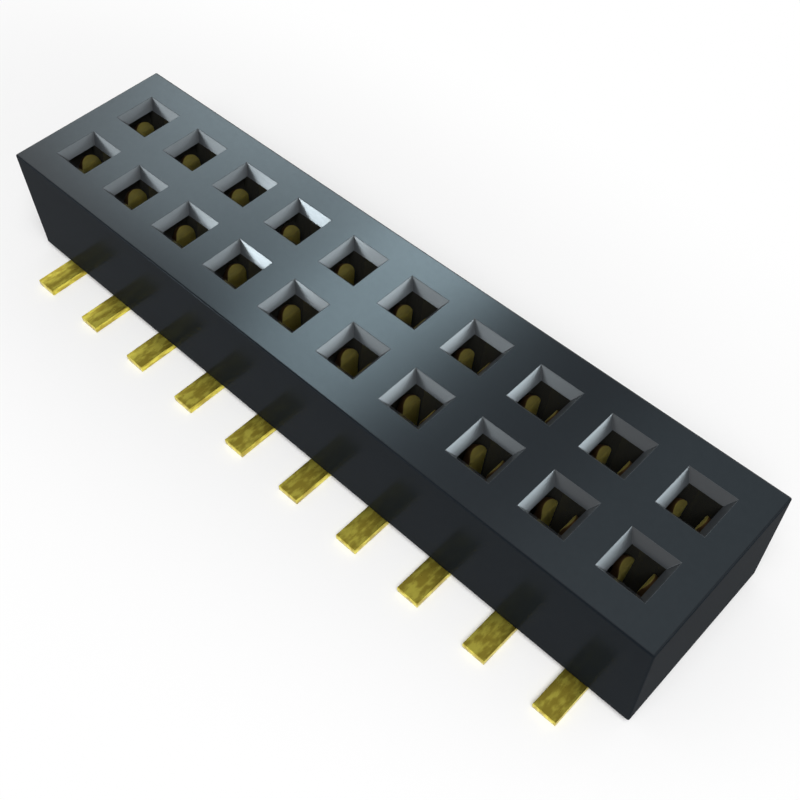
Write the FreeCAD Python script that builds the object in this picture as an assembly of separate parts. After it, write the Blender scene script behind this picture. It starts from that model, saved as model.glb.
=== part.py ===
import FreeCAD, Part
import math
import os

# Low-profile socket strip that joins two circuit boards, surface mounted. One moulded block holds
# two rows of square sockets, and each socket holds one stamped and bent contact strip whose foot
# lies flat on the board outside the block.
# Millimetres. The origin is on the board's plane, under the middle of the part. +X runs along the
# rows, the front row is on the -Y side, and +Z points out of the mating face.

# Layout of the sockets
positions = 10
pitch = 1.27
row_spacing = 1.27

# Moulded block
end_reach = 0.885            # centre of the last socket to the end face
side_reach = 0.89            # centre line of a row to the long face
block_height = 2.06
edge_radius = 0.03           # moulded rounding of the block's outer edges

# Socket, from the mating face down
throat = 0.53                # side of the square that the pin passes
lead_in_run = 0.12           # how much further the mouth reaches than the throat, on each side
lead_in_depth = 0.165
pocket_relief = 0.135        # how much further the pocket reaches than the throat, along the row
ceiling_drop = 0.03          # fall of the pocket's ceiling from the throat to the pocket's wall

# Contact strip
strip_thickness = 0.127
bend_radius = 0.07           # inside radius where the leaves stand up from the web
knee_radius = 0.40           # inside radius where the leaves start to lean in
crown_radius = 0.20          # radius of the face that rubs on the pin
leaf_gap = 0.29              # free gap between the two crowns
leaf_inset_foot_side = 0.11  # pocket's wall to the leaf's edge, on the side of the foot
leaf_inset_far_side = 0.02   # the same on the other side
knee_height = 0.50           # height of the knee over the block's underside
crown_drop = 0.13            # crown below the leaf's tip
tip_clearance = 0.065        # leaf's tip below the throat
tip_flare = 0.09             # how far the tip turns back out from the crown
barb_lift = 0.12             # lower edge of the barb over the block's underside
barb_height = 0.16           # height of the wide stretch that grips the pocket
barb_ramp = 0.08             # height of the slope above it
foot_width = 0.40
foot_reach = 0.68            # foot outside the long face
heel_gap = 0.34              # gap between the heels of the two rows

# Heights and half widths that follow from the sizes above
underside = strip_thickness
mating_face = underside + block_height
throat_level = mating_face - lead_in_depth
tip_level = throat_level - tip_clearance
half_throat = throat / 2
half_mouth = half_throat + lead_in_run
half_pocket = half_throat + pocket_relief
half_strip = strip_thickness / 2
leaf_foot_edge = -half_throat + leaf_inset_foot_side
leaf_far_edge = half_throat - leaf_inset_far_side
block_length = (positions - 1) * pitch + 2 * end_reach
block_width = row_spacing + 2 * side_reach


def frustum(low, low_x, low_y, high, high_x, high_y):
    # Solid between two centred rectangles, given by their heights and half widths
    wires = []
    for level, half_x, half_y in ((low, low_x, low_y), (high, high_x, high_y)):
        corners = [(-half_x, -half_y), (half_x, -half_y), (half_x, half_y), (-half_x, half_y)]
        points = [FreeCAD.Vector(x, y, level) for x, y in corners]
        wires.append(Part.makePolygon(points + points[:1]))
    return Part.makeLoft(wires, True, True)


def socket_cutter():
    # Room of one socket, centred on the Z axis: pocket, sloping ceiling, throat and lead-in
    ceiling_level = throat_level - ceiling_drop
    pocket = frustum(0, half_pocket, half_throat, ceiling_level, half_pocket, half_throat)
    ceiling = frustum(ceiling_level, half_pocket, half_throat, throat_level, half_throat, half_throat)
    lead_in = frustum(throat_level, half_throat, half_throat, mating_face, half_mouth, half_mouth)
    return pocket.fuse([ceiling, lead_in]).removeSplitter()


def row_places(row_y):
    # Centres of one row's sockets, counted along +X
    middle = (positions - 1) / 2
    return [FreeCAD.Vector((index - middle) * pitch, row_y, 0) for index in range(positions)]


def make_housing():
    corner = FreeCAD.Vector(-block_length / 2, -block_width / 2, underside)
    block = Part.makeBox(block_length, block_width, block_height, corner)
    block = block.makeFillet(edge_radius, block.Edges)
    cutter = socket_cutter()
    places = row_places(-row_spacing / 2) + row_places(row_spacing / 2)
    return block.cut([cutter.translated(place) for place in places])


def direction(start, end):
    return (end - start).normalize()


def left_normal(start, end):
    along = direction(start, end)
    return FreeCAD.Vector(-along.z, 0, along.x)


def strip_side(path, radii, shift):
    # One face of a bent strip, seen edge on: its middle line moved sideways, as lines and arcs
    edges = []
    here = path[0] + left_normal(path[0], path[1]) * shift
    for before, corner, after, radius in zip(path, path[1:], path[2:], radii):
        normal_in = left_normal(before, corner)
        normal_out = left_normal(corner, after)
        turn = direction(before, corner).getAngle(direction(corner, after))
        closing = math.copysign(1, direction(corner, after).dot(normal_in))
        run = radius * math.tan(turn / 2)
        centre = corner - direction(before, corner) * run + normal_in * (closing * radius)
        arm = shift - closing * radius
        arc_start = centre + normal_in * arm
        arc_middle = centre + (normal_in + normal_out).normalize() * arm
        arc_end = centre + normal_out * arm
        edges.append(Part.makeLine(here, arc_start))
        edges.append(Part.Arc(arc_start, arc_middle, arc_end).toShape())
        here = arc_end
    end = path[-1] + left_normal(path[-2], path[-1]) * shift
    edges.append(Part.makeLine(here, end))
    return edges


def strip_section(path, radii):
    # Section of a strip bent along path, the strip's middle line, with the middle line's radii
    first = left_normal(path[0], path[1]) * half_strip
    last = left_normal(path[-2], path[-1]) * half_strip
    edges = strip_side(path, radii, half_strip) + strip_side(path, radii, -half_strip)
    edges.append(Part.makeLine(path[0] + first, path[0] - first))
    edges.append(Part.makeLine(path[-1] + last, path[-1] - last))
    return Part.Face(Part.Wire(Part.sortEdges(edges)[0]))


def make_leaves():
    # Both leaves and the web between them: the bent section, cut to the blank's outline
    wall_x = half_pocket - half_strip
    crown_x = leaf_gap / 2 + half_strip
    spare = strip_thickness      # stretch past the tip, which the outline trims off
    slope = tip_flare / crown_drop
    right = [
        FreeCAD.Vector(wall_x, 0, half_strip),
        FreeCAD.Vector(wall_x, 0, underside + knee_height),
        FreeCAD.Vector(crown_x, 0, tip_level - crown_drop),
        FreeCAD.Vector(crown_x + slope * (crown_drop + spare), 0, tip_level + spare),
    ]
    left = [FreeCAD.Vector(-point.x, 0, point.z) for point in reversed(right)]
    bends = [bend_radius + half_strip, knee_radius + half_strip, crown_radius - half_strip]
    section = strip_section(left + right, bends[::-1] + bends)
    section.translate(FreeCAD.Vector(0, -half_throat, 0))
    bent = section.extrude(FreeCAD.Vector(0, throat, 0))
    blank = leaf_outline().extrude(FreeCAD.Vector(2 * half_pocket, 0, 0))
    return bent.common(blank)


def leaf_outline():
    # Outline of a leaf seen along the row: straight edges, barbs on both, and a round tip
    tip_radius = (leaf_far_edge - leaf_foot_edge) / 2
    middle = (leaf_far_edge + leaf_foot_edge) / 2
    shoulder = tip_level - tip_radius
    barb_low = underside + barb_lift
    barb_high = barb_low + barb_height
    barb_end = barb_high + barb_ramp

    def point(y, z):
        return FreeCAD.Vector(-half_pocket, y, z)

    rise = [
        point(leaf_far_edge, 0),
        point(leaf_far_edge, barb_low),
        point(half_throat, barb_low),
        point(half_throat, barb_high),
        point(leaf_far_edge, barb_end),
        point(leaf_far_edge, shoulder),
    ]
    fall = [
        point(leaf_foot_edge, shoulder),
        point(leaf_foot_edge, barb_end),
        point(-half_throat, barb_high),
        point(-half_throat, barb_low),
        point(leaf_foot_edge, barb_low),
        point(leaf_foot_edge, 0),
    ]
    tip = Part.Arc(rise[-1], point(middle, tip_level), fall[0]).toShape()
    edges = Part.makePolygon(rise).Edges + [tip] + Part.makePolygon(fall + rise[:1]).Edges
    return Part.Face(Part.Wire(edges))


def make_contact():
    # Contact of the front row, with its socket's centre on the Z axis and its foot towards -Y
    foot_tip = -side_reach - foot_reach
    heel_tip = (row_spacing - heel_gap) / 2
    corner = FreeCAD.Vector(-foot_width / 2, foot_tip, 0)
    foot = Part.makeBox(foot_width, heel_tip - foot_tip, strip_thickness, corner)
    return make_leaves().fuse(foot).removeSplitter()


def write_node(shape, name):
    shape.exportStep("parts/" + name + ".step")


os.makedirs("parts", exist_ok=True)
write_node(make_housing(), "housing")
front_contact = make_contact()
back_contact = front_contact.copy()
back_contact.rotate(FreeCAD.Vector(0, 0, 0), FreeCAD.Vector(0, 0, 1), 180)
for row, contact, row_y in (
    ("front", front_contact, -row_spacing / 2),
    ("back", back_contact, row_spacing / 2),
):
    for number, place in enumerate(row_places(row_y), start=1):
        write_node(contact.translated(place), "contact_%s_%02d" % (row, number))
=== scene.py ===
import math
import bmesh
import bpy
from mathutils import Euler, Matrix, Vector


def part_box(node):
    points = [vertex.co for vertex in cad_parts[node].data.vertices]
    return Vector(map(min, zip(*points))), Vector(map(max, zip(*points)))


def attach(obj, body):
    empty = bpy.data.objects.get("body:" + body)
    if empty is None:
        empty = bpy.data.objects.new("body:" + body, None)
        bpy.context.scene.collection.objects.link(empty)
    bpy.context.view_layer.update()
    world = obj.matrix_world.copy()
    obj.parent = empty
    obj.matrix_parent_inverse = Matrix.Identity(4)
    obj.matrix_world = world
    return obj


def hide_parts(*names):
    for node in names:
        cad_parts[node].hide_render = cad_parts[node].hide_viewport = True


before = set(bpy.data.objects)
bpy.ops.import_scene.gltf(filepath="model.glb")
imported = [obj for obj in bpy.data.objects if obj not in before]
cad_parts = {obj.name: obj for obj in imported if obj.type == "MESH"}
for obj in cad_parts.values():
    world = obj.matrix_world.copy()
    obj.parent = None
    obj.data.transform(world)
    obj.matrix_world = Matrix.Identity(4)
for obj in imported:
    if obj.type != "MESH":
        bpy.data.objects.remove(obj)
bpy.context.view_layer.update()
print("frame loaded:", len(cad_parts), "nodes")

mm = 0.001             # the meshes are shaped in millimetres and turned to metres at the end
rowInset = 0.89        # long face of the block to the centre line of a row
hair = 0.0001          # slack when two places are compared
mergeReach = 0.0005    # points nearer than this become one
snapReach = 0.001      # a cut goes through points that are nearer to it than this
mainly = 0.5           # part of a normal that makes a face count as facing that way


def nodeBox(node):
    low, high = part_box(node)
    return low / mm, high / mm


blockLow, blockHigh = nodeBox("housing")
firstLow, firstHigh = nodeBox("contact_front_01")
pitch = nodeBox("contact_front_02")[0].x - firstLow.x
rowCount = len([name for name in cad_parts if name.startswith("contact_front")])
rowOffset = blockHigh.y - rowInset


def socketPlaces(rowY):
    return [Vector(((index - (rowCount - 1) / 2) * pitch, rowY, 0)) for index in range(rowCount)]


# camera of the picture, in millimetres and degrees
pictureCamera = {
    "place": (8.274, -7.363, 14.488),
    "turn": (36.878, 0.867, 43.749),
    "lens": 49.49,
    "nearClip": 0.5,
    "farClip": 2000,
}


def makeCamera(values):
    data = bpy.data.cameras.new("pictureCamera")
    data.lens = values["lens"]
    data.clip_start = values["nearClip"] * mm
    data.clip_end = values["farClip"] * mm
    camera = bpy.data.objects.new("pictureCamera", data)
    camera.location = Vector(values["place"]) * mm
    camera.rotation_euler = Euler([math.radians(angle) for angle in values["turn"]])
    bpy.context.scene.collection.objects.link(camera)
    bpy.context.scene.camera = camera


makeCamera(pictureCamera)
print("camera placed")


def cutPlane(bm, place, normal):
    everything = bm.verts[:] + bm.edges[:] + bm.faces[:]
    bmesh.ops.bisect_plane(bm, geom=everything, dist=snapReach, plane_co=place, plane_no=normal)


def roundEdges(bm, edges, reach, steps):
    bmesh.ops.bevel(bm, geom=edges, offset=reach, offset_type="OFFSET", segments=steps, profile=0.5,
                    affect="EDGES", material=-1)


def finishMesh(bm, name, material, node, smoothAngle=None):
    # turns a bmesh in millimetres into a finished piece in metres that rides on the part
    bmesh.ops.remove_doubles(bm, verts=bm.verts, dist=mergeReach)
    bmesh.ops.recalc_face_normals(bm, faces=bm.faces)
    bmesh.ops.scale(bm, vec=(mm, mm, mm), verts=bm.verts)
    mesh = bpy.data.meshes.new(name)
    bm.to_mesh(mesh)
    bm.free()
    if smoothAngle is not None:
        mesh.shade_smooth()
        mesh.set_sharp_from_angle(angle=math.radians(smoothAngle))
    mesh.materials.append(material)
    piece = bpy.data.objects.new(name, mesh)
    bpy.context.scene.collection.objects.link(piece)
    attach(piece, "root")
    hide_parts(node)
    return piece


# moulded block, in millimetres; the two values for gloss are shares of the top's
mouldedBlock = {
    "edgeRound": 0.03,
    "edgeSteps": 4,
    "mouthSide": 0.77,
    "throatSide": 0.53,
    "leadInDepth": 0.165,
    "ceilingDrop": 0.03,
    "socketRound": 0.004,
    "socketSteps": 2,
    "sideGloss": 0.11,
    "endGloss": 0.07,
}


def cutGrid(bm):
    # cuts the block's faces into one square cell around each socket
    for index in range(rowCount + 1):
        cutPlane(bm, ((index - rowCount / 2) * pitch, 0, 0), (1, 0, 0))
    for index in (-1, 0, 1):
        cutPlane(bm, (0, index * pitch, 0), (0, 1, 0))


def cellFaces(bm, height):
    # the level faces of the cells at a height
    reachX = rowCount * pitch / 2
    found = []
    for face in bm.faces:
        centre = face.calc_center_median()
        flat = abs(centre.z - height) < hair
        if flat and abs(centre.x) < reachX and abs(centre.y) < pitch:
            found.append(face)
    return found


def stretchFaces(bm, faces, stretch):
    # stretches each face along X about its own middle
    for face in faces:
        centre = face.calc_center_median()
        bmesh.ops.scale(bm, vec=(stretch, 1, 1), verts=face.verts, space=Matrix.Translation(-centre))


def insetFaces(bm, faces, inset, drop=0):
    bmesh.ops.inset_individual(bm, faces=faces, thickness=inset, depth=-drop, use_even_offset=True)


def makeBlock(values, material, leadInMaterial):
    bm = bmesh.new()
    bmesh.ops.create_cube(bm, size=1)
    bmesh.ops.scale(bm, vec=blockHigh - blockLow, verts=bm.verts)
    bmesh.ops.translate(bm, vec=(blockHigh + blockLow) / 2, verts=bm.verts)
    roundEdges(bm, bm.edges[:], values["edgeRound"], values["edgeSteps"])
    cutGrid(bm)
    top, bottom = blockHigh.z, blockLow.z
    mouth, throat = values["mouthSide"], values["throatSide"]
    stretch = (firstHigh.x - firstLow.x) / throat   # the pocket is as long as the contact fills it
    mouths = cellFaces(bm, top)
    insetFaces(bm, mouths, (pitch - mouth) / 2)
    insetFaces(bm, mouths, (mouth - throat) / 2, values["leadInDepth"])
    insetFaces(bm, mouths, 0, values["ceilingDrop"])
    stretchFaces(bm, mouths, stretch)
    insetFaces(bm, mouths, 0, top - values["leadInDepth"] - values["ceilingDrop"] - bottom)
    openings = [face for face in cellFaces(bm, bottom) if face not in mouths]
    insetFaces(bm, openings, (pitch - throat) / 2)
    stretchFaces(bm, openings, stretch)
    bmesh.ops.delete(bm, geom=mouths + openings, context="FACES_ONLY")
    bmesh.ops.remove_doubles(bm, verts=bm.verts, dist=mergeReach)
    roundSockets(bm, values)
    markBlock(bm, values)
    piece = finishMesh(bm, "socketBlock", material, "housing")
    piece.data.materials.append(leadInMaterial)
    return piece


def markBlock(bm, values):
    # gloss of the skin on each face, and masks for painted reflection on the lead-ins, a paler grey that
    # stands in for the highlights they mirror, and for painted light on the walls below them, a warm
    # brownish tone for light that the gold bounces into the sockets; the second material goes on the
    # lead-ins that face along the rows, and on the roundings of the sockets
    rim = 0.1          # no socket reaches this near to the outer sides
    level = 0.99       # upward part of a level face's normal
    tilted = 0.9       # the same for a face that leans a little
    likeness = 0.05    # how far a normal may be from the one sought
    skinGloss = bm.faces.layers.float.new("skinGloss")
    paintedReflectionMask = bm.faces.layers.float.new("paintedReflectionMask")
    paintedBounceMask = bm.faces.layers.float.new("paintedBounceMask")
    lowest = blockHigh.z - values["leadInDepth"]
    run = (values["mouthSide"] - values["throatSide"]) / 2
    upward = run / math.hypot(run, values["leadInDepth"])
    bm.normal_update()
    for face in bm.faces:
        centre, normal = face.calc_center_median(), face.normal
        inside = abs(centre.x) < blockHigh.x - rim and abs(centre.y) < blockHigh.y - rim
        sloping = inside and centre.z > lowest and normal.z < level
        acrossRows = abs(normal.x) < likeness and abs(normal.z - upward) < likeness
        outerGloss = values["endGloss"] if abs(normal.x) > mainly else values["sideGloss"]
        face[skinGloss] = 1 if inside or normal.z > tilted else outerGloss
        # the lead-in mask carries the painted reflection
        face[paintedReflectionMask] = 1 if sloping else 0
        # the wall mask carries the painted bounce light
        face[paintedBounceMask] = 1 if inside and not sloping and normal.z < level else 0
        face.material_index = 1 if sloping and not acrossRows else 0


def roundSockets(bm, values):
    # breaks the sharp edges of the mouths, of the lead-ins' corners and of the throats
    lowest = blockHigh.z - values["leadInDepth"] - hair
    half = values["mouthSide"] / 2 + hair
    places = socketPlaces(-rowOffset) + socketPlaces(rowOffset)
    edges = []
    for edge in bm.edges:
        if min(vert.co.z for vert in edge.verts) < lowest:
            continue
        for place in places:
            reach = [max(abs(vert.co.x - place.x), abs(vert.co.y - place.y)) for vert in edge.verts]
            if max(reach) < half:
                edges.append(edge)
    roundEdges(bm, edges, values["socketRound"], values["socketSteps"])


# contact strip, in millimetres and degrees: the blank is cut flat, then bent
contactStrip = {
    "thickness": 0.127,
    "webRadius": 0.07,
    "kneeRadius": 0.40,
    "crownRadius": 0.20,
    "leafGap": 0.29,
    "insetFootSide": 0.11,
    "insetFarSide": 0.02,
    "kneeHeight": 0.50,
    "crownDrop": 0.13,
    "tipFlare": 0.09,
    "tipLevel": firstHigh.z,
    "barbLift": 0.12,
    "barbHeight": 0.16,
    "barbRamp": 0.08,
    "footWidth": 0.40,
    "rimRound": 0.014,
    "rimSteps": 2,
    "tipSteps": 20,
    "bendSteps": 10,
    "smoothAngle": 25,
}


def stripPath(values):
    # middle line of one half of the strip, from the web's centre to the tip, as (length, bend) steps
    half = values["thickness"] / 2
    wall = (firstHigh.x - firstLow.x) / 2 - half
    crown = values["leafGap"] / 2 + half
    slope = math.atan2(values["tipFlare"], values["crownDrop"])
    tipZ = values["tipLevel"] - half * math.sin(slope)        # the tip's inner corner is its highest
    tipX = crown + math.tan(slope) * (tipZ - values["tipLevel"] + values["crownDrop"])
    corners = [
        Vector((0, half)),
        Vector((wall, half)),
        Vector((wall, values["thickness"] + values["kneeHeight"])),
        Vector((crown, values["tipLevel"] - values["crownDrop"])),
        Vector((tipX, tipZ)),
    ]
    radii = [values["webRadius"] + half, values["kneeRadius"] + half, values["crownRadius"] - half]
    steps = []
    spent = 0
    for before, corner, after, radius in zip(corners, corners[1:], corners[2:], radii):
        turn = (corner - before).angle_signed(after - corner) * -1
        tangent = radius * math.tan(abs(turn) / 2)
        steps.append(((corner - before).length - spent - tangent, 0))
        steps.append((radius * abs(turn), math.copysign(1 / radius, turn)))
        spent = tangent
    steps.append(((corners[-1] - corners[-2]).length - spent, 0))
    return steps


def followStrip(steps, along):
    # place and heading of the middle line at a distance along it
    place = Vector((0, contactStrip["thickness"] / 2))
    heading = 0
    for length, bend in steps:
        part = min(length, along)
        if bend == 0:
            place += Vector((math.cos(heading), math.sin(heading))) * part
        else:
            turned = heading + bend * part
            chord = Vector((math.sin(turned) - math.sin(heading), math.cos(heading) - math.cos(turned)))
            place += chord / bend
            heading = turned
        along -= part
        if along <= 0:
            break
    return place, heading


def stripLength(steps):
    return sum(length for length, bend in steps)


def lengthAtHeight(steps, height):
    # distance along the strip at which its middle line reaches a height
    low, high = 0, stripLength(steps)
    for halving in range(30):                                 # fine enough for any size
        middle = (low + high) / 2
        if followStrip(steps, middle)[0].y < height:
            low = middle
        else:
            high = middle
    return high


def cutBlank(values, steps):
    # flat blank with its middle at the origin: X runs along the leaves, Y across them
    rowY = -rowOffset
    halfThroat = mouldedBlock["throatSide"] / 2
    footEdge = -halfThroat + values["insetFootSide"]
    farEdge = halfThroat - values["insetFarSide"]
    footTip, heelTip = firstLow.y - rowY, firstHigh.y - rowY
    footHalf = values["footWidth"] / 2
    straight = steps[0][0] + steps[1][0]                      # where the leaf stands upright
    level = followStrip(steps, straight)[0].y
    barbLow = straight + values["thickness"] + values["barbLift"] - level
    barbHigh = barbLow + values["barbHeight"]
    barbEnd = barbHigh + values["barbRamp"]
    tipRadius = (farEdge - footEdge) / 2
    shoulderHeight = followStrip(steps, stripLength(steps))[0].y - tipRadius
    shoulder = lengthAtHeight(steps, shoulderHeight)
    farSide = [(0, heelTip), (footHalf, heelTip), (footHalf, farEdge), (barbLow, farEdge),
               (barbLow, halfThroat), (barbHigh, halfThroat), (barbEnd, farEdge), (shoulder, farEdge)]
    footSide = [(shoulder, footEdge), (barbEnd, footEdge), (barbHigh, -halfThroat), (barbLow, -halfThroat),
                (barbLow, footEdge), (footHalf, footEdge), (footHalf, footTip), (0, footTip)]
    bm = bmesh.new()
    chains = [[bm.verts.new((x, y, 0)) for x, y in side] for side in (farSide, footSide)]
    for chain in chains:
        for first, second in zip(chain, chain[1:]):
            bm.edges.new((first, second))
    middle = Vector((shoulder, (farEdge + footEdge) / 2, 0))
    bmesh.ops.spin(bm, geom=[chains[0][-1]], cent=middle, axis=(0, 0, 1), angle=-math.pi,
                   steps=values["tipSteps"], use_merge=False, use_duplicate=False)
    bmesh.ops.remove_doubles(bm, verts=bm.verts, dist=hair)
    outline = bm.verts[:] + bm.edges[:]
    bmesh.ops.mirror(bm, geom=outline, matrix=Matrix.Identity(4), merge_dist=hair, axis="X")
    bmesh.ops.remove_doubles(bm, verts=bm.verts, dist=hair)
    bmesh.ops.contextual_create(bm, geom=bm.edges[:])
    for vert in bm.verts:
        beyond = abs(vert.co.x) - shoulder
        if beyond > hair:                                     # the tip is round when seen along the row
            vert.co.x = math.copysign(lengthAtHeight(steps, shoulderHeight + beyond), vert.co.x)
    return bm


def bendBlank(bm, values, steps):
    # gives the blank its thickness and rounded rims, cuts it across where it bends, and bends it
    thickness = values["thickness"]
    bmesh.ops.translate(bm, vec=(0, 0, -thickness / 2), verts=bm.verts)
    grown = bmesh.ops.extrude_face_region(bm, geom=bm.faces[:])["geom"]
    raised = [item for item in grown if isinstance(item, bmesh.types.BMVert)]
    bmesh.ops.translate(bm, vec=(0, 0, thickness), verts=raised)
    bmesh.ops.recalc_face_normals(bm, faces=bm.faces)
    sheared = bm.faces.layers.float.new("shearedEdge")
    for face in bm.faces:
        face[sheared] = 0 if abs(face.normal.z) > mainly else 1
    rims = [edge for edge in bm.edges if abs(edge.verts[0].co.z - edge.verts[1].co.z) < hair]
    roundEdges(bm, rims, values["rimRound"], values["rimSteps"])
    along = 0
    for length, bend in steps:
        count = values["bendSteps"] if bend else 1
        for index in range(count):
            cut = along + length * index / count
            if cut > 0:
                cutPlane(bm, (cut, 0, 0), (1, 0, 0))
                cutPlane(bm, (-cut, 0, 0), (1, 0, 0))
        along += length
    for vert in bm.verts:
        place, heading = followStrip(steps, abs(vert.co.x))
        side = math.copysign(1, vert.co.x)
        rise = vert.co.z
        vert.co.x = side * (place.x - math.sin(heading) * rise)
        vert.co.z = place.y + math.cos(heading) * rise


def makeContact(values, material, node, place, turned):
    steps = stripPath(values)
    bm = cutBlank(values, steps)
    bendBlank(bm, values, steps)
    if turned:
        bmesh.ops.rotate(bm, cent=(0, 0, 0), matrix=Matrix.Rotation(math.pi, 3, "Z"), verts=bm.verts)
    bmesh.ops.translate(bm, vec=place, verts=bm.verts)
    name = "goldContact" + node.replace("contact_", "_")
    return finishMesh(bm, name, material, node, values["smoothAngle"])


def newMaterial(name):
    material = bpy.data.materials.new(name)
    material.use_nodes = True
    nodes = material.node_tree.nodes
    return material, nodes, material.node_tree.links, nodes["Principled BSDF"]


grainDetail = 3


def makeGrainGroup():
    # fine grain and broad cloudiness, both from 0 to 1, in the piece's own coordinates
    group = bpy.data.node_groups.new("surfaceGrain", "ShaderNodeTree")
    face = group.interface
    face.new_socket("Stretch", in_out="INPUT", socket_type="NodeSocketVector")
    face.new_socket("Fine Scale", in_out="INPUT", socket_type="NodeSocketFloat")
    face.new_socket("Broad Scale", in_out="INPUT", socket_type="NodeSocketFloat")
    face.new_socket("Fine", in_out="OUTPUT", socket_type="NodeSocketFloat")
    face.new_socket("Broad", in_out="OUTPUT", socket_type="NodeSocketFloat")
    nodes, links = group.nodes, group.links
    start = nodes.new("NodeGroupInput")
    end = nodes.new("NodeGroupOutput")
    place = nodes.new("ShaderNodeTexCoord")
    stretched = nodes.new("ShaderNodeVectorMath")
    stretched.operation = "MULTIPLY"
    links.new(place.outputs["Object"], stretched.inputs[0])
    links.new(start.outputs["Stretch"], stretched.inputs[1])
    for name in ("Fine", "Broad"):
        noise = nodes.new("ShaderNodeTexNoise")
        noise.inputs["Detail"].default_value = grainDetail
        links.new(stretched.outputs[0], noise.inputs["Vector"])
        links.new(start.outputs[name + " Scale"], noise.inputs["Scale"])
        links.new(noise.outputs["Fac"], end.inputs[name])
    return group


def addGrain(nodes, group, stretch, fineScale, broadScale):
    grain = nodes.new("ShaderNodeGroup")
    grain.node_tree = group
    grain.inputs["Stretch"].default_value = stretch
    grain.inputs["Fine Scale"].default_value = fineScale
    grain.inputs["Broad Scale"].default_value = broadScale
    return grain


def addRange(nodes, links, source, target):
    # spreads a value between 0 and 1 over the target's range
    return addStep(nodes, links, source, (0, 1), target, "LINEAR")


def addStep(nodes, links, source, span, target=(0, 1), easing="SMOOTHSTEP"):
    # turns a value that runs over the span into one that runs over the target's range
    step = nodes.new("ShaderNodeMapRange")
    step.interpolation_type = easing
    for name, value in zip(("From Min", "From Max", "To Min", "To Max"), (*span, *target)):
        step.inputs[name].default_value = value
    links.new(source, step.inputs["Value"])
    return step.outputs["Result"]


def addMix(nodes, links, factor, first, second):
    mix = nodes.new("ShaderNodeMix")
    mix.data_type = "RGBA"
    links.new(factor, mix.inputs["Factor"])
    for socket, colour in ((mix.inputs["A"], first), (mix.inputs["B"], second)):
        if isinstance(colour, tuple):
            socket.default_value = colour
        else:
            links.new(colour, socket)
    return mix.outputs["Result"]


def addMath(nodes, links, operation, first, second):
    step = nodes.new("ShaderNodeMath")
    step.operation = operation
    links.new(first, step.inputs[0])
    links.new(second, step.inputs[1])
    return step.outputs[0]


def addMask(nodes, name):
    mask = nodes.new("ShaderNodeAttribute")
    mask.attribute_name = name
    return mask.outputs["Fac"]


def addBump(nodes, links, shader, height, reach):
    bump = nodes.new("ShaderNodeBump")
    bump.inputs["Strength"].default_value = 1
    bump.inputs["Distance"].default_value = reach
    links.new(height, bump.inputs["Height"])
    links.new(bump.outputs["Normal"], shader.inputs["Normal"])


# black moulded plastic: all its gloss comes from a clear skin, which is weaker on the outer sides
plasticLook = {
    "darkColour": (0.0060, 0.0088, 0.0120, 1),
    "lightColour": (0.0090, 0.0124, 0.0162, 1),
    # paler grey on the lead-ins is painted reflection, standing in for the highlights they mirror
    "leadInPaintedReflection": (0.032, 0.036, 0.040, 1),
    # warm brownish on the socket walls is painted light, standing in for light the gold bounces into the
    # sockets
    "wallPaintedBounceLight": (0.0225, 0.0224, 0.0190, 1),
    "skinIor": 1.5,
    "skinRoughness": 0.17,
    "skinClouds": (0.92, 1.0),
    "skinGrain": (0.82, 1.0),
    "baseRoughness": (0.40, 0.55),
    "fineScale": 14000,
    "broadScale": 420,
    "grainReach": 0.0000006,
}


# the lead-ins that face along the rows, and the roundings of the sockets, have a duller skin
leadInLook = dict(plasticLook, skinRoughness=0.45, skinClouds=(0.85, 1.0))


def makePlastic(name, values, grainGroup):
    material, nodes, links, shader = newMaterial(name)
    shader.inputs["Specular IOR Level"].default_value = 0
    shader.inputs["Coat IOR"].default_value = values["skinIor"]
    shader.inputs["Coat Roughness"].default_value = values["skinRoughness"]
    grain = addGrain(nodes, grainGroup, (1, 1, 1), values["fineScale"], values["broadScale"])
    colour = addMix(nodes, links, grain.outputs["Broad"], values["darkColour"], values["lightColour"])
    # painted reflection: the lead-ins are painted a paler grey
    colour = addMix(nodes, links, addMask(nodes, "paintedReflectionMask"), colour, values["leadInPaintedReflection"])
    # painted light: the socket walls are painted a warm brownish tone
    colour = addMix(nodes, links, addMask(nodes, "paintedBounceMask"), colour, values["wallPaintedBounceLight"])
    links.new(colour, shader.inputs["Base Color"])
    roughness = addRange(nodes, links, grain.outputs["Broad"], values["baseRoughness"])
    links.new(roughness, shader.inputs["Roughness"])
    clouds = addRange(nodes, links, grain.outputs["Broad"], values["skinClouds"])
    fine = addRange(nodes, links, grain.outputs["Fine"], values["skinGrain"])
    skin = addMath(nodes, links, "MULTIPLY", clouds, fine)
    gloss = addMath(nodes, links, "MULTIPLY", skin, addMask(nodes, "skinGloss"))
    links.new(gloss, shader.inputs["Coat Weight"])
    addBump(nodes, links, shader, grain.outputs["Fine"], values["grainReach"])
    return material


# gold plate over bronze: the leaves turn duller over the leafRise heights, in millimetres above the board,
# and are painted paler there, painted light that lifts them in the dark sockets; over heights in
# millimetres from the tip they get painted shade, darker towards the tip; and their cut edges show bronze,
# partly bare metal and partly painted shade
goldLook = {
    "brightColour": (0.84, 0.745, 0.115, 1),
    "warmColour": (0.50, 0.395, 0.054, 1),
    # bronze of the leaves' cut edges, partly bare metal and partly painted shade in the sockets
    "bronzeAndShadeColour": (0.17, 0.10, 0.045, 1),
    # paler gold on the leaves is painted light that lifts them in the dark sockets
    "leafPaintedLightColour": (0.90, 0.82, 0.29, 1),
    # darker gold at the leaf tips is painted shade
    "tipPaintedShadeColour": (0.29, 0.245, 0.065, 1),
    "mottle": (0.36, 0.62),
    "footRoughness": (0.22, 0.40),
    "leafRoughness": (0.66, 0.80),
    "leafRise": (0.2, 0.6),
    # heights from the tip over which the painted shade comes in
    "tipPaintedShadeRise": (-0.20, -0.03),
    "stretch": (1, 0.45, 1),
    "fineScale": 30000,
    "broadScale": 11000,
    "grainReach": 0.0000006,
}


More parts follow.
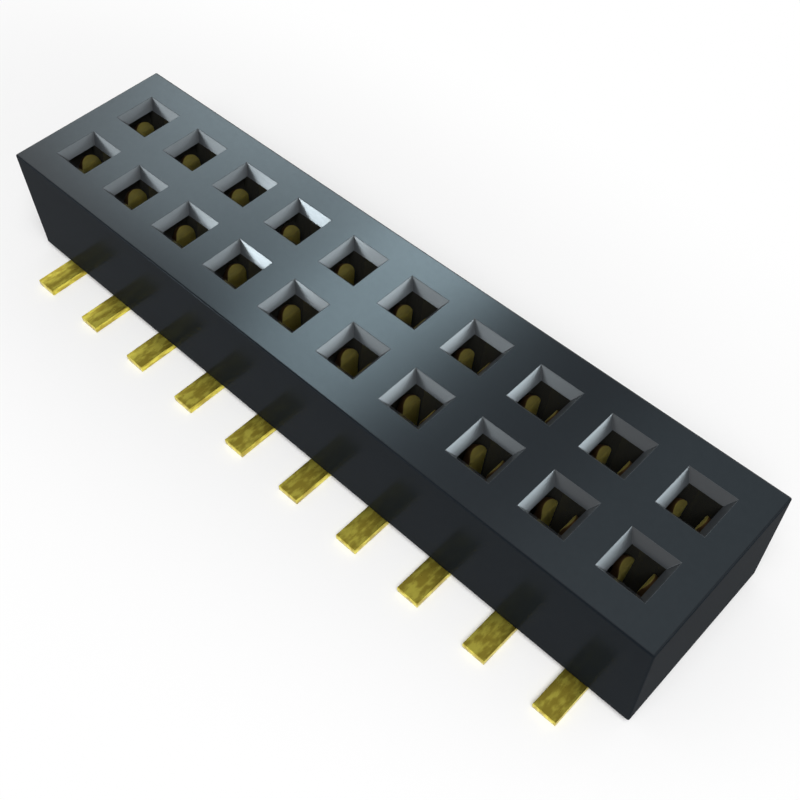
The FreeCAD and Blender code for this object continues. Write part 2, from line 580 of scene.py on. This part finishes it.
def makeGold(values, grainGroup):
    material, nodes, links, shader = newMaterial("goldPlate")
    shader.inputs["Metallic"].default_value = 1
    grain = addGrain(nodes, grainGroup, values["stretch"], values["fineScale"], values["broadScale"])
    place = nodes.new("ShaderNodeTexCoord")
    axes = nodes.new("ShaderNodeSeparateXYZ")
    links.new(place.outputs["Object"], axes.inputs[0])
    leafHeights = [height * mm for height in values["leafRise"]]
    tipHeights = [(contactStrip["tipLevel"] + height) * mm for height in values["tipPaintedShadeRise"]]
    leaf = addStep(nodes, links, axes.outputs["Z"], leafHeights)
    tip = addStep(nodes, links, axes.outputs["Z"], tipHeights)
    bareEdgeAndShade = addMath(nodes, links, "MULTIPLY", addMask(nodes, "shearedEdge"), leaf)
    mottle = addStep(nodes, links, grain.outputs["Broad"], values["mottle"])
    colour = addMix(nodes, links, mottle, values["brightColour"], values["warmColour"])
    # painted light: the leaves are painted a paler gold
    colour = addMix(nodes, links, leaf, colour, values["leafPaintedLightColour"])
    # painted shade: darker towards the leaf tips
    colour = addMix(nodes, links, tip, colour, values["tipPaintedShadeColour"])
    # bronze on the leaves' cut edges: partly bare metal, partly painted shade
    colour = addMix(nodes, links, bareEdgeAndShade, colour, values["bronzeAndShadeColour"])
    links.new(colour, shader.inputs["Base Color"])
    foot = addRange(nodes, links, grain.outputs["Fine"], values["footRoughness"])
    rubbed = addRange(nodes, links, grain.outputs["Fine"], values["leafRoughness"])
    extra = addMath(nodes, links, "SUBTRACT", rubbed, foot)
    extra = addMath(nodes, links, "MULTIPLY", extra, leaf)
    links.new(addMath(nodes, links, "ADD", foot, extra), shader.inputs["Roughness"])
    addBump(nodes, links, shader, grain.outputs["Fine"], values["grainReach"])
    return material


grainGroup = makeGrainGroup()
blackPlastic = makePlastic("blackPlastic", plasticLook, grainGroup)
leadInPlastic = makePlastic("leadInPlastic", leadInLook, grainGroup)
goldPlate = makeGold(goldLook, grainGroup)
print("materials made")
block = makeBlock(mouldedBlock, blackPlastic, leadInPlastic)
blockOnly = bpy.data.collections.new("blockOnly")
blockOnly.objects.link(block)
print("block made")
for row, rowY in (("front", -rowOffset), ("back", rowOffset)):
    for number, place in enumerate(socketPlaces(rowY), start=1):
        makeContact(contactStrip, goldPlate, "contact_%s_%02d" % (row, number), place, row == "back")
print("contacts made")


# floor and room, in millimetres and degrees above the floor
studio = {
    "floorSize": 2000,
    "floorDrop": 0.002,
    "floorColour": (0.94, 0.94, 0.94, 1),
    "floorRoughness": 0.9,
    "whiteSqueeze": (0.4, 1, 1),
    "whiteReach": (2.8, 8),
    "fillStrength": 0.27,
    "coveAngles": (40, 48),
    "coveStrength": 0.27,
    "ceilingAngles": (52, 62),
    "ceilingStrength": 0.43,
}


def addSeen(nodes, links):
    # 1 for the rays that show a surface to the camera, in a mirror or through glass
    rays = nodes.new("ShaderNodeLightPath")
    seen = rays.outputs["Is Camera Ray"]
    for name in ("Is Glossy Ray", "Is Transmission Ray"):
        seen = addMath(nodes, links, "MAXIMUM", seen, rays.outputs[name])
    return seen


def makeFloor(values):
    # pale paper that keeps the part's shadow and is seen as white further out
    bm = bmesh.new()
    bmesh.ops.create_grid(bm, x_segments=2, y_segments=2, size=values["floorSize"] / 2 * mm)
    bmesh.ops.translate(bm, vec=(0, 0, -values["floorDrop"] * mm), verts=bm.verts)
    mesh = bpy.data.meshes.new("paleFloor")
    bm.to_mesh(mesh)
    bm.free()
    material, nodes, links, shader = newMaterial("palePaper")
    shader.inputs["Base Color"].default_value = values["floorColour"]
    shader.inputs["Roughness"].default_value = values["floorRoughness"]
    shader.inputs["Specular IOR Level"].default_value = 0
    place = nodes.new("ShaderNodeTexCoord")
    squeezed = nodes.new("ShaderNodeVectorMath")
    squeezed.operation = "MULTIPLY"
    squeezed.inputs[1].default_value = values["whiteSqueeze"]
    links.new(place.outputs["Object"], squeezed.inputs[0])
    reach = nodes.new("ShaderNodeVectorMath")
    reach.operation = "LENGTH"
    links.new(squeezed.outputs[0], reach.inputs[0])
    whiteReach = [distance * mm for distance in values["whiteReach"]]
    far = addStep(nodes, links, reach.outputs["Value"], whiteReach)
    white = nodes.new("ShaderNodeEmission")
    mix = nodes.new("ShaderNodeMixShader")
    links.new(addMath(nodes, links, "MULTIPLY", addSeen(nodes, links), far), mix.inputs[0])
    links.new(shader.outputs[0], mix.inputs[1])
    links.new(white.outputs[0], mix.inputs[2])
    links.new(mix.outputs[0], nodes["Material Output"].inputs["Surface"])
    mesh.materials.append(material)
    floor = bpy.data.objects.new("paleFloor", mesh)
    bpy.context.scene.collection.objects.link(floor)


def addBackground(nodes, strength):
    background = nodes.new("ShaderNodeBackground")
    background.inputs["Color"].default_value = (1, 1, 1, 1)
    background.inputs["Strength"].default_value = strength
    return background


def makeWorld(values):
    # a room that lights the part evenly and is seen as white walls, a dim cove and a grey ceiling
    world = bpy.data.worlds.new("softRoom")
    bpy.context.scene.world = world
    world.use_nodes = True
    nodes, links = world.node_tree.nodes, world.node_tree.links
    nodes.clear()
    direction = nodes.new("ShaderNodeTexCoord")
    axes = nodes.new("ShaderNodeSeparateXYZ")
    links.new(direction.outputs["Generated"], axes.inputs[0])
    cove, ceiling = values["coveStrength"], values["ceilingStrength"]
    coveSines = [math.sin(math.radians(angle)) for angle in values["coveAngles"]]
    ceilingSines = [math.sin(math.radians(angle)) for angle in values["ceilingAngles"]]
    falling = addStep(nodes, links, axes.outputs["Z"], coveSines, (1, cove))
    rising = addStep(nodes, links, axes.outputs["Z"], ceilingSines, (0, ceiling - cove))
    walls = addBackground(nodes, 1)
    links.new(addMath(nodes, links, "ADD", falling, rising), walls.inputs["Strength"])
    fill = addBackground(nodes, values["fillStrength"])
    mix = nodes.new("ShaderNodeMixShader")
    output = nodes.new("ShaderNodeOutputWorld")
    links.new(addSeen(nodes, links), mix.inputs[0])
    links.new(fill.outputs[0], mix.inputs[1])
    links.new(walls.outputs[0], mix.inputs[2])
    links.new(mix.outputs[0], output.inputs["Surface"])


# colours of the light from the lamp, the standing cards and the level cards
plainWhite = (1.0, 1.0, 1.0)
paleWhite = (0.80, 0.93, 1.0)
coolWhite = (0.66, 0.89, 1.0)

# the lamp, and upright cards that the block alone mirrors: direction in degrees from +Y towards -X and
# above the floor, distance and size in millimetres, and brightness of the face
keyLamp = {"around": -135, "above": 62, "away": 120, "width": 80, "height": 80, "face": 7.0}
standingCards = {
    "leftCard": {"around": 146, "above": 13, "away": 120, "width": 70, "height": 46, "face": 3.3},
    "leftEdge": {"around": 135, "above": 13, "away": 119, "width": 22, "height": 40, "face": 2.2},
    "leftSpot": {"around": 143.4, "above": 13, "away": 119, "width": 6, "height": 40, "face": 40},
    "rightLowCard": {"around": -60, "above": 6, "away": 120, "width": 60, "height": 26, "face": 66},
    "rightHighCard": {"around": -62, "above": 21, "away": 120, "width": 56, "height": 36, "face": 5.5},
}

# level cards over the part, which its top mirrors: middle and size in millimetres, brightness of the face
levelCards = {
    "wideCard": {"middle": (-97, 72, 102), "width": 78, "height": 44, "face": 1.85},
    "leftEndCard": {"middle": (-104, 72, 101), "width": 26, "height": 44, "face": 0.85},
    "bandCard": {"middle": (-64, 64, 101), "width": 20, "height": 54, "face": 5.2},
    "rearCard": {"middle": (-92, 84, 100), "width": 80, "height": 34, "face": 1.5},
    "nearEndCard": {"middle": (-12, 60, 100), "width": 30, "height": 70, "face": 0.5},
}


def makeLamp(name, values, place, outward, colour, card):
    # a lamp lights everything and isn't mirrored, a card lights nothing and is mirrored by the block
    data = bpy.data.lights.new(name, "AREA")
    data.shape = "RECTANGLE"
    data.size = values["width"] * mm
    data.size_y = values["height"] * mm
    data.energy = values["face"] * data.size * data.size_y * math.pi
    data.color = colour
    lamp = bpy.data.objects.new(name, data)
    lamp.location = place * mm
    lamp.rotation_euler = outward.to_track_quat("Z", "Y").to_euler()
    lamp.visible_camera = False
    lamp.visible_diffuse = not card
    lamp.visible_glossy = card
    if card:
        lamp.light_linking.receiver_collection = blockOnly
    bpy.context.scene.collection.objects.link(lamp)


def makeStandingLamp(name, values, colour, card):
    turn = Euler((math.radians(values["above"]), 0, math.radians(values["around"])))
    outward = Vector((0, 1, 0))
    outward.rotate(turn)
    makeLamp(name, values, outward * values["away"], outward, colour, card)


makeFloor(studio)
makeWorld(studio)
makeStandingLamp("keyLamp", keyLamp, plainWhite, card=False)
for name, values in standingCards.items():
    makeStandingLamp(name, values, paleWhite, card=True)
for name, values in levelCards.items():
    makeLamp(name, values, Vector(values["middle"]), Vector((0, 0, 1)), coolWhite, card=True)
bpy.context.scene.view_settings.view_transform = "Standard"
print("studio made")
